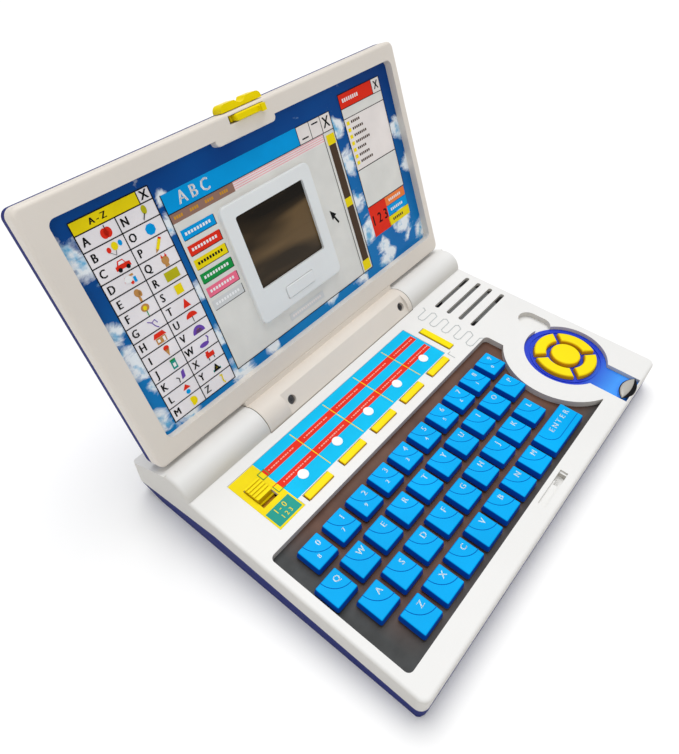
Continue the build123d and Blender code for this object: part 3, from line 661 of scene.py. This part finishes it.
# small pictures, one per cell
INKS = {"red": INK_RED, "yellow": INK_YELLOW, "cyan": INK_CYAN, "tan": INK_TAN,
        "green": INK_GREEN, "purple": INK_PURPLE, "white": INK_WHITE, "black": BLACK_INK_AND_SHADOW,
        "olive": INK_OLIVE, "teal": INK_TEAL}
shapes = {tone: [] for tone in INKS}


def cell(letter):
    """Centre of the picture beside a letter of the chart."""
    column, row = divmod(ord(letter) - ord("A"), ROWS)
    return (-97.4, -76.0)[column], HEAD - PITCH * (row + 0.5)


def draw(tone, *outlines):
    """Adds outlines to the chart's pictures in one ink."""
    shapes[tone] += outlines


def rect(x, v, w, h):
    """Rectangle around a centre."""
    return [(x - w / 2, v - h / 2), (x + w / 2, v - h / 2), (x + w / 2, v + h / 2),
            (x - w / 2, v + h / 2)]


def tri(x, v, w, h):
    """Upright triangle around a centre."""
    return [(x - w / 2, v - h / 2), (x + w / 2, v - h / 2), (x, v + h / 2)]


x, v = cell("A")
draw("red", round_outline(x - 0.9, v - 0.3, 2.1, 2.5), round_outline(x + 0.9, v - 0.3, 2.1, 2.5))
draw("black", rect(x + 0.2, v + 2.6, 0.4, 1.6))

x, v = cell("B")
draw("yellow", round_outline(x + 0.6, v + 1.0, 1.7, 2.0))
draw("red", round_outline(x - 2.9, v + 0.3, 1.1, 1.4))
draw("cyan", round_outline(x + 3.9, v + 1.2, 1.1, 1.4))
draw("black", *ribbon([(x - 2.9, v - 1.0), (x - 0.5, v - 3.2), (x + 0.5, v - 1.0)], 0.2))

x, v = cell("C")
draw("red", [(x - 4.2, v - 2.0), (x + 4.2, v - 2.0), (x + 4.0, v + 0.2), (x + 2.0, v + 0.5),
             (x + 0.9, v + 2.5), (x - 2.0, v + 2.5), (x - 3.0, v + 0.4), (x - 4.2, v)])
draw("black", round_outline(x - 2.3, v - 2.0, 1.1), round_outline(x + 2.3, v - 2.0, 1.1))
draw("white", [(x - 2.2, v + 0.5), (x + 1.4, v + 0.5), (x + 0.6, v + 2.0), (x - 1.6, v + 2.0)])

x, v = cell("D")
draw("white", round_outline(x - 1.0, v + 0.6, 2.2, 1.8))
draw("red", tri(x - 2.4, v + 1.0, 1.8, 2.6), round_outline(x + 0.4, v - 1.6, 0.9))
draw("cyan", rect(x + 2.4, v - 0.8, 1.5, 2.9))
draw("tan", rect(x + 1.3, v + 2.0, 2.2, 1.0))

x, v = cell("E")
draw("tan", round_outline(x - 0.2, v + 1.0, 1.7, 2.0), rect(x, v - 2.2, 1.3, 3.2),
     round_outline(x + 1.3, v + 0.2, 0.9, 1.6))

x, v = cell("F")
draw("tan", round_outline(x, v + 0.9, 2.4, 2.0))
draw("yellow", round_outline(x - 0.2, v + 0.8, 1.1))
draw("green", rect(x, v - 2.3, 0.5, 2.8))

x, v = cell("G")
draw("purple", *ribbon([(x - 2.6, v + 2.0), (x - 0.6, v + 0.6), (x + 0.4, v - 1.6),
                        (x + 1.9, v - 3.2)], 0.5))
draw("purple", *ribbon([(x - 0.6, v + 0.6), (x + 1.5, v + 1.4), (x + 2.4, v - 0.6)], 0.4))

x, v = cell("H")
draw("red", [(x - 4.0, v + 0.4), (x + 4.0, v + 0.4), (x + 2.6, v + 2.9), (x - 2.6, v + 2.9)])
draw("tan", rect(x, v - 1.5, 6.2, 3.4))
draw("white", rect(x - 1.6, v - 1.4, 1.5, 1.5), rect(x + 1.7, v - 1.6, 1.4, 2.6))

x, v = cell("I")
draw("red", round_outline(x, v + 1.6, 1.7, 1.4))
draw("tan", [(x - 1.5, v + 0.9), (x, v - 3.2), (x + 1.5, v + 0.9)])

x, v = cell("J")
draw("teal", rect(x, v - 0.5, 3.2, 4.8))
draw("white", rect(x, v - 0.6, 1.6, 2.2))
draw("green", rect(x, v + 2.4, 3.4, 0.9))

x, v = cell("K")
draw("purple", [(x + 0.2, v - 2.2), (x + 2.7, v - 1.5), (x + 3.3, v + 2.9), (x + 1.2, v + 2.2)])
draw("black", *ribbon([(x - 2.7, v + 0.6), (x - 1.3, v - 0.4), (x - 1.8, v - 2.8)], 0.5))

x, v = cell("L")
draw("red", tri(x, v + 1.5, 5.0, 2.9))
draw("cyan", round_outline(x, v - 1.9, 1.4, 1.3))

x, v = cell("M")
draw("yellow", round_outline(x, v, 2.7, 2.7, 16, math.radians(-110), math.radians(230)))

x, v = cell("N")
draw("black", *ribbon([(x - 1.0, v - 3.0), (x + 0.6, v - 0.4)], 0.5))
draw("olive", round_outline(x + 1.2, v + 1.3, 1.5, 2.2))

x, v = cell("O")
draw("cyan", round_outline(x, v, 2.9, 2.9, 8, math.radians(22.5)))

x, v = cell("P")
draw("yellow", [(x - 2.0, v - 1.4), (x - 0.6, v - 2.4), (x + 2.6, v + 1.8), (x + 1.2, v + 2.8)])
draw("tan", [(x - 2.0, v - 1.4), (x - 2.8, v - 3.4), (x - 0.6, v - 2.4)])
draw("red", [(x + 2.6, v + 1.8), (x + 3.2, v + 2.6), (x + 1.8, v + 3.5), (x + 1.2, v + 2.8)])

x, v = cell("Q")
draw("tan", round_outline(x, v - 0.2, 2.2, 2.2), rect(x, v - 2.9, 2.4, 1.4))
draw("red", tri(x - 1.2, v + 2.4, 1.5, 1.8), tri(x + 1.2, v + 2.4, 1.5, 1.8))

x, v = cell("R")
draw("olive", rect(x, v, 8.6, 5.0))

x, v = cell("S")
draw("yellow", rect(x, v, 4.6, 5.0))

x, v = cell("T")
draw("red", tri(x, v + 0.1, 4.8, 5.0))

x, v = cell("U")
draw("red", round_outline(x, v - 0.2, 3.6, 3.0, 12, 0.0, math.pi))
draw("black", rect(x, v - 1.6, 0.4, 3.0))

x, v = cell("V")
draw("purple", round_outline(x, v - 1.8, 4.0, 4.2, 14, 0.0, math.pi))
draw("tan", round_outline(x, v - 1.8, 2.2, 2.6, 10, 0.0, math.pi))

x, v = cell("W")
draw("purple", round_outline(x - 0.6, v - 1.0, 3.2, 1.3),
     *ribbon([(x + 2.2, v - 0.4), (x + 3.2, v + 1.6), (x + 2.5, v + 2.9)], 0.7))

x, v = cell("X")
draw("red", rect(x, v + 0.4, 5.6, 2.6), rect(x - 1.4, v + 2.3, 2.0, 1.4))
draw("black", rect(x - 1.8, v - 1.7, 0.5, 1.8), rect(x + 1.8, v - 1.7, 0.5, 1.8))

x, v = cell("Y")
draw("black", tri(x, v + 0.3, 5.0, 4.6))
draw("teal", rect(x, v - 1.4, 5.4, 1.2))
draw("yellow", rect(x, v + 0.1, 1.2, 1.3))

x, v = cell("Z")
draw("yellow", *ribbon([(x - 0.3, v + 2.8), (x + 0.9, v + 2.4), (x + 0.4, v - 1.0),
                        (x + 1.2, v - 2.8)], 0.8))

# some inks lie over the others
OVER = ("white", "black", "yellow", "green")
for tone, outlines in shapes.items():
    card_shapes("chart pictures " + tone, outlines, 4 if tone in OVER else 2, INKS[tone])

# large window around the screen
card_tiles("window sheet", [(-63.8, 65.2, 32.9, 127.4)], 0, INK_BODY)
card_tiles("window title", [(-63.8, 35.2, 127.4, 137.5)], 1, INK_CYAN)
card_tiles("window controls", [(35.2, 65.2, 127.4, 137.5)], 1, INK_PALE)
card_tiles("window menu", [(-63.8, -20.1, 122.2, 127.4)], 1, INK_BROWN)
card_tiles("window lines sheet", [(-20.1, 55.2, 122.2, 127.4)], 1, INK_PALE)
card_tiles("window thin lines", [(-20.1, 55.2, v, v + 0.25) for v in (123.1, 124.3, 125.5, 126.6)],
           2, INK_PINK)
edges = [(-64.1, 65.5, 32.7, 33.2), (-64.1, -63.6, 32.7, 137.7), (65.0, 65.5, 32.7, 137.7),
         (55.0, 55.4, 32.9, 127.4), (35.0, 35.4, 127.4, 137.5), (45.9, 46.3, 127.4, 137.5),
         (55.8, 56.2, 127.4, 137.5), (35.2, 65.4, 137.3, 137.7), (-64.0, 65.4, 127.2, 127.6)]
card_tiles("window edges", edges, 3, BLACK_INK_AND_SHADOW)
card_tiles("window signs", [(38.0, 43.5, 129.4, 130.2), (48.3, 53.8, 134.6, 135.4)], 2, BLACK_INK_AND_SHADOW)
card_words("window cross", [("X", 60.6, 132.4, 6.4, 0.9)], 2, BLACK_INK_AND_SHADOW)
card_words("window heading", [("A B C", -44.5, 132.4, 6.6, 0.9)], 2, INK_WHITE)
menu = [bar for i in range(4) for bar in mark_row(-61.6 + 10.4 * i, 124.0, 125.6, 1.5, 1.1, 4)]
card_tiles("window menu marks", menu, 2, INK_AMBER)

# column of printed buttons, with black marks on the yellow one
BUTTON_X0, BUTTON_X1 = -61.6, -39.5
BUTTONS = (("blue", 115.2, INK_CYAN), ("red", 106.4, INK_RED), ("yellow", 98.4, INK_YELLOW),
           ("green", 90.1, INK_GREEN), ("pink", 81.8, INK_PINK), ("grey", 73.8, INK_GREY))
shadows = []
light, dark = [], []
for name, v, ink in BUTTONS:
    card_tiles("button " + name, [(BUTTON_X0, BUTTON_X1, v - 2.9, v + 2.6)], 2, ink)
    side = v + 0.1 if name == "grey" else v    # the grey one's shadow sits a little higher
    shadows += [(BUTTON_X1, BUTTON_X1 + 0.5, side - 3.2, side + 2.3),
                (BUTTON_X0 + 0.4, BUTTON_X1 + 0.5, v - 3.3, v - 2.9)]
    marks = dark if name == "yellow" else light
    marks += mark_row(BUTTON_X0 + 2.0, v - 0.8, v + 0.8, 2.0, 1.3, 9)
card_tiles("button shadows", shadows, 1, BLACK_INK_AND_SHADOW)
card_tiles("button marks light", light, 3, INK_WHITE)
card_tiles("button marks dark", dark, 3, BLACK_INK_AND_SHADOW)

# scroll bar, pointer and the small plate under the screen
card_tiles("scroll track", [(57.6, 63.8, 40.8, 119.2)], 1, INK_DARK)
card_tiles("scroll squares", [(57.2, 64.4, 119.2, 125.3), (57.5, 63.7, 79.3, 84.8),
                              (56.8, 64.0, 33.9, 40.8)], 2, INK_YELLOW)
arrow = [(41.8, 83.9), (46.6, 79.9), (44.9, 79.2), (47.4, 74.4), (46.2, 73.7), (43.8, 78.4),
         (42.3, 77.3)]
card_shapes("pointer", [arrow[::-1]], 2, BLACK_INK_AND_SHADOW)
card_tiles("small plate under screen", [(-16.0, 15.4, 36.9, 41.6)], 3, INK_GREY)
card_tiles("small plate marks", mark_row(-13.5, 38.5, 40.0, 1.9, 1.3, 14), 4, INK_PALE)

# narrow window on the right, with a badge and three bars under it
card_tiles("list sheet", [(76.1, 117.2, 96.1, 134.6)], 0, INK_PALE)
card_tiles("list header", [(76.1, 108.9, 134.6, 143.2)], 1, INK_RED)
card_tiles("list cross box", [(108.9, 117.2, 134.6, 143.2)], 1, INK_PALE)
card_tiles("list grey", [(76.1, 117.2, 71.0, 96.1), (76.1, 117.2, 128.6, 134.6)], 1, INK_BODY)
card_tiles("list badge", [(76.1, 94.4, 49.8, 70.6)], 1, INK_RED)
card_tiles("list orange", [(94.4, 116.4, 64.3, 70.4)], 1, INK_ORANGE)
card_tiles("list blue", [(94.4, 116.7, 57.2, 63.8)], 1, INK_CYAN)
card_tiles("list yellow", [(93.6, 117.1, 50.2, 56.6)], 1, INK_YELLOW)
edges = [(75.8, 76.3, 70.8, 143.4), (117.0, 117.5, 70.8, 143.4), (75.8, 117.5, 70.6, 71.1),
         (75.8, 117.5, 95.8, 96.3), (75.8, 117.5, 143.0, 143.5), (75.8, 117.5, 134.4, 134.8),
         (75.8, 117.5, 128.4, 128.8), (108.7, 109.1, 134.6, 143.2)]
card_tiles("list edges", edges, 2, BLACK_INK_AND_SHADOW)
rows = [125.6 - 4.15 * k for k in range(7)]
card_tiles("list bullets", [(77.8, 80.4, v - 1.1, v + 1.1) for v in rows], 2, INK_YELLOW)
marks = []
for k, v in enumerate(rows):
    marks += mark_row(82.0, v - 0.7, v + 0.8, 1.8, 1.2, 5 + (k * 5) % 4)
card_tiles("list marks", marks, 2, INK_DARK)
card_words("list words", [("X", 113.1, 138.9, 5.0, 0.9)], 2, BLACK_INK_AND_SHADOW)
card_words("badge words", [("1 2 3", 85.2, 60.2, 7.0, 0.85)], 2, BLACK_INK_AND_SHADOW)
card_tiles("header marks", mark_row(79.0, 138.0, 140.2, 2.0, 1.3, 8), 2, INK_PALE)
card_tiles("bar marks", mark_row(98.0, 66.4, 68.2, 2.0, 1.3, 7)
           + mark_row(98.0, 59.6, 61.4, 2.0, 1.3, 7), 2, INK_PALE)
card_tiles("bar marks dark", mark_row(98.0, 52.5, 54.3, 2.0, 1.3, 6), 2, INK_DARK)

# ------------------------------------------------------------------
# Badge at the end of the thumb pad handle
# ------------------------------------------------------------------
LEAF_X, LEAF_Y, LEAF_HALF = 99.3, -77.4, 11.0
DECK_FRONT = -80.0              # where the deck starts to round over
DECK_ROUND = 2.0                # radius of that edge


def bow(sagitta, steps=18):
    """Arc between the two tips of the badge, bulging in y by sagitta."""
    radius = (LEAF_HALF ** 2 + sagitta ** 2) / (2 * abs(sagitta))
    sweep = math.asin(LEAF_HALF / radius)
    sign = 1 if sagitta > 0 else -1
    points = []
    for i in range(steps + 1):
        a = sweep * (2 * i / steps - 1)
        lift = radius * math.cos(a) - (radius - abs(sagitta))
        points.append((LEAF_X + radius * math.sin(a), LEAF_Y + sign * lift))
    return points


def dome(name, matrix, outline, levels, material, body):
    """Crowned cap over an outline: levels are (shrink, z), the last a peak."""
    cx = sum(p[0] for p in outline) / len(outline)
    cy = sum(p[1] for p in outline) / len(outline)
    verts, faces, n = [], [], len(outline)
    for shrink, z in levels[:-1]:
        verts += [(cx + (x - cx) * shrink, cy + (y - cy) * shrink, z) for x, y in outline]
    verts.append((cx, cy, levels[-1][1]))
    for ring in range(len(levels) - 2):
        a, b = ring * n, (ring + 1) * n
        faces += [(a + i, a + (i + 1) % n, b + (i + 1) % n, b + i) for i in range(n)]
    last, peak = (len(levels) - 2) * n, len(verts) - 1
    faces += [(last + i, last + (i + 1) % n, peak) for i in range(n)]
    obj = add_mesh(name, matrix, verts, faces, material, body)
    for polygon in obj.data.polygons:
        polygon.use_smooth = True
    return obj


def rim_z(y):
    """Height of the deck near its rounded front edge."""
    past = min(DECK_ROUND - 0.05, max(0.0, DECK_FRONT - y))
    return math.sqrt(DECK_ROUND ** 2 - past ** 2) - DECK_ROUND


def drape(name, matrix, inner, outer, lift, thick, material, body, steps=6):
    """Band between two curves, laid over the rounded front edge of the deck."""
    verts, faces, n = [], [], len(inner)
    for low in (0.0, thick):
        for (xa, ya), (xb, yb) in zip(inner, outer):
            for k in range(steps + 1):
                x, y = xa + (xb - xa) * k / steps, ya + (yb - ya) * k / steps
                verts.append((x, y, rim_z(y) + lift - low))
    row, layer = steps + 1, n * (steps + 1)
    for i in range(n - 1):
        for k in range(steps):
            a = i * row + k
            faces.append((a, a + 1, a + row + 1, a + row))
            faces.append((a + layer, a + layer + row, a + layer + row + 1, a + layer + 1))
        for a in (i * row, i * row + steps):
            faces.append((a, a + row, a + row + layer, a + layer))
    for start in (0, (n - 1) * row):
        for k in range(steps):
            a = start + k
            faces.append((a, a + layer, a + layer + 1, a + 1))
    return add_mesh(name, matrix, verts, faces, material, body)


rim = bow(-2.9) + bow(5.1)[-2:0:-1]
plates("badge rim", DECK, [rim], -0.5, -0.3, BLACK_INK_AND_SHADOW, "base")
# black crescent in front of the lens: painted shadow
drape("badge crescent", DECK, bow(-1.6), bow(-4.5), 0.16, 0.3, BLACK_INK_AND_SHADOW, "base")
cap = [(LEAF_X + (x - LEAF_X) * 0.95, y) for x, y in bow(-1.7) + bow(4.5)[-2:0:-1]]
dome("badge lens", DECK, cap, [(1.0, -0.3), (0.97, 0.25), (0.86, 0.55), (0.6, 0.75), (0.3, 0.85),
                               (0.0, 0.88)], LENS, "base")

# raised meander line beside the speaker slots, and its small corner mark
SPEAKER_ROWS, SPEAKER_PITCH = 5, 9.8
meander = [(78.0, 65.0)]
for k in range(SPEAKER_ROWS):
    y0 = 63.4 - SPEAKER_PITCH * k
    meander += [(78.5, y0 + 1.0), (77.0, y0 - 1.2), (67.8, y0 - 1.2), (66.4, y0 - 2.8),
                (66.6, y0 - 5.2), (68.4, y0 - 6.2), (77.6, y0 - 6.2), (79.0, y0 - 7.8)]
plates("meander", DECK, ribbon(meander, 0.55), 0.0, 0.16, EMBOSS, "base")
plates("corner mark", DECK, ribbon([(53.2, 26.4), (50.6, 26.4), (50.6, 21.0)], 0.5), 0.0, 0.16,
       EMBOSS, "base")

# ------------------------------------------------------------------
# Floor, light and camera
# ------------------------------------------------------------------
floor_mat = plastic("floor", (0.96, 0.96, 0.96), 0.9, 0.004, 3.0, 40.0, 0.0, specular=0.0)
floor_mesh = bpy.data.meshes.new("floor")
reach = 6.0                     # metres from the part to the floor's edges
corners = [(-reach, -reach, 0), (reach, -reach, 0), (reach, reach, 0), (-reach, reach, 0)]
floor_mesh.from_pydata(corners, [], [(0, 1, 2, 3)])
floor_mesh.materials.append(floor_mat)
floor = bpy.data.objects.new("floor", floor_mesh)
bpy.context.scene.collection.objects.link(floor)


def sun(name, direction, strength, angle, tint=(1, 1, 1)):
    """Broad soft light shining along a direction."""
    light = bpy.data.lights.new(name, "SUN")
    light.energy = strength
    light.angle = math.radians(angle)
    light.color = tint
    obj = bpy.data.objects.new(name, light)
    obj.rotation_euler = Vector(direction).to_track_quat("-Z", "Y").to_euler()
    bpy.context.scene.collection.objects.link(obj)


sun("overhead", (-0.25, -0.2, -1.0), 2.0, 50)
sun("front", (0.75, 0.9, -1.0), 0.5, 30, (1.0, 0.98, 0.95))

bpy.context.scene.view_settings.view_transform = "Standard"
world = bpy.data.worlds.new("world")
bpy.context.scene.world = world
world.use_nodes = True
background = world.node_tree.nodes["Background"]
background.inputs["Color"].default_value = (0.98, 0.99, 1.0, 1.0)
background.inputs["Strength"].default_value = 0.42

camera_data = bpy.data.cameras.new("camera")
camera_data.lens = 28.836
camera_data.sensor_width = 36.0
camera_data.clip_start = 0.01
camera = bpy.data.objects.new("camera", camera_data)
camera.location = (-0.2156, -0.1480, 0.3032)
camera.rotation_euler = (math.radians(45.108), math.radians(2.010), math.radians(-50.401))
bpy.context.scene.collection.objects.link(camera)
bpy.context.scene.camera = camera
